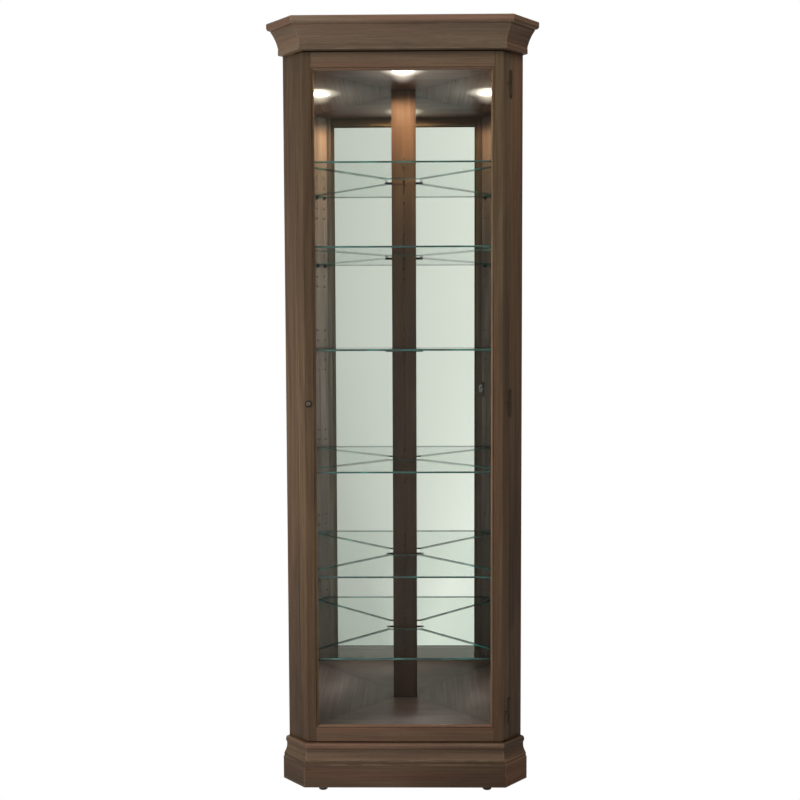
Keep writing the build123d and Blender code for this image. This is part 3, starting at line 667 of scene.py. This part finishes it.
# ---- stage: a pale studio, with softboxes on the left and overhead, and a faint one inside ----
STUDIO = [      # (sideways direction, brightness beside white) of the walls around the cabinet
    (-1.0, 0.6),
    (-0.12, 1.15),
    (0.12, 0.65),
    (0.5, 0.45),
    (1.0, 0.4),
]
WALL_FILL = 0.36            # shares of that brightness that light matt surfaces
FLOOR_FILL = 0.3
GLOW_RADIUS = 0.048
GLOW_RISE = 0.012           # of its middle above the lens
FLOOR_HALF = 40.0
LAMP_SOURCE = 0.015         # radius of the light that stands for the lamp
LAMP_DROP = 0.018           # of that light below the lens
LAMP_POWER = 8.5            # in watts, like the softboxes
SOFTBOXES = [               # name, place, target, size, power, colour
    ("left_softbox", (-0.95, -0.8, 1.12), (-0.26, 0, 1.12), (0.4, 0.5), 16.5, (0.86, 1.0, 1.18)),
    ("overhead_softbox", (0.2, -1.3, 3.2), (0, 0, 1.6), (2.0, 1.2), 26.0, (1.0, 1.0, 1.0)),
    ("inner_bounce", (0.02, 0.06, 1.0), (0.05, -0.12, 1.0), (0.12, 1.5), 4.8, (0.74, 1.0, 1.35)),
]


def studio_light(shader, sideways, fill):
    """White to the camera. Elsewhere brighter on the left, and matt surfaces get less of it."""
    stops = [((side + 1) / 2, (level, level, level, 1.0)) for side, level in STUDIO]
    around = shader.ramp(shader.calc("MULTIPLY_ADD", sideways, 0.5, 0.5), stops)
    rays = shader.node("LightPath").outputs
    share = shader.between(rays["Is Diffuse Ray"], 0.0, 1.0, 1.0, fill)
    strength = shader.calc("MULTIPLY", around, share)
    return shader.between(rays["Is Camera Ray"], 0.0, 1.0, strength, 1.0)


def studio():
    """Pale walls all round, at no distance in particular."""
    shader = Shader("studio", "worlds")
    direction = shader.node("TexCoord").outputs["Generated"]
    sideways = shader.node("SeparateXYZ", {0: direction}).outputs["X"]
    strength = studio_light(shader, sideways, WALL_FILL)
    white = (1.0, 1.0, 1.0, 1.0)
    light = shader.node("Background", {"Color": white, "Strength": strength}).outputs[0]
    shader.node("OutputWorld", {"Surface": light})
    bpy.context.scene.world = shader.owner


def pale_floor():
    """A wide plain floor, lit from within so that it runs into the walls."""
    half = FLOOR_HALF
    mesh = bpy.data.meshes.new("floor")
    corners = [(-half, -half, 0.0), (half, -half, 0.0), (half, half, 0.0), (-half, half, 0.0)]
    mesh.from_pydata(corners, [], [(0, 1, 2, 3)])
    floor = add_object("floor", mesh)
    shader = Shader("pale_floor")
    away = shader.node("VectorMath", {0: shader.space()}, operation="NORMALIZE").outputs[0]
    sideways = shader.node("SeparateXYZ", {0: away}).outputs["X"]
    strength = studio_light(shader, sideways, FLOOR_FILL)
    mesh.materials.append(shader.done(shader.node("Emission", {"Strength": strength}).outputs[0]))


def softbox(name, place, target, size, power, colour):
    """A rectangular light, aimed at a point."""
    data = bpy.data.lights.new(name, "AREA")
    data.shape = "RECTANGLE"
    data.size, data.size_y = size
    data.energy = power
    data.color = colour
    light = add_object(name, data)
    light.location = place
    away = Vector(place) - Vector(target)
    light.rotation_euler = away.to_track_quat("Z", "Y").to_euler()
    light.visible_camera = False
    light.visible_glossy = False


def cabinet_lamp():
    """The ceiling lamp's light on the shelves, from just under its lens."""
    data = bpy.data.lights.new("cabinet_lamp", "SPOT")
    data.spot_size = math.pi
    data.spot_blend = 0.16
    data.shadow_soft_size = LAMP_SOURCE
    data.energy = LAMP_POWER
    data.color = (1.0, 0.83, 0.64)
    lamp = add_object("cabinet_lamp", data)
    lamp.location = lens_place(-LAMP_DROP)
    lamp.visible_camera = False
    lamp.visible_glossy = False


def lamp_glow():
    """The haze of light around the lit lens, thinning out to nothing."""
    work = bmesh.new()
    bmesh.ops.create_uvsphere(work, u_segments=48, v_segments=24, radius=GLOW_RADIUS)
    mesh = bpy.data.meshes.new("lamp_glow")
    work.to_mesh(mesh)
    work.free()
    mesh.polygons.foreach_set("use_smooth", [True] * len(mesh.polygons))
    glow = add_object("lamp_glow", mesh)
    glow.location = lens_place(GLOW_RISE)
    glow.visible_diffuse = False
    glow.visible_shadow = False
    shader = Shader("lamp_glow")
    rim = shader.node("LayerWeight", {"Blend": 0.5}).outputs["Facing"]
    depth = shader.calc("POWER", shader.calc("SUBTRACT", 1.0, rim), 5.0)
    inputs = {"Color": (1.0, 0.9, 0.78, 1.0), "Strength": shader.calc("MULTIPLY", depth, 0.7)}
    haze = shader.node("Emission", inputs).outputs[0]
    clear = shader.node("BsdfTransparent", {"Color": (1.0, 1.0, 1.0, 1.0)}).outputs[0]
    mesh.materials.append(shader.done(shader.node("AddShader", {0: haze, 1: clear}).outputs[0]))


studio()
pale_floor()
for row in SOFTBOXES:
    softbox(*row)
cabinet_lamp()
lamp_glow()
set_camera()
scene = bpy.context.scene
scene.view_settings.view_transform = "Standard"
scene.cycles.transparent_max_bounces = 40
scene.cycles.max_bounces = 16
scene.cycles.glossy_bounces = 8
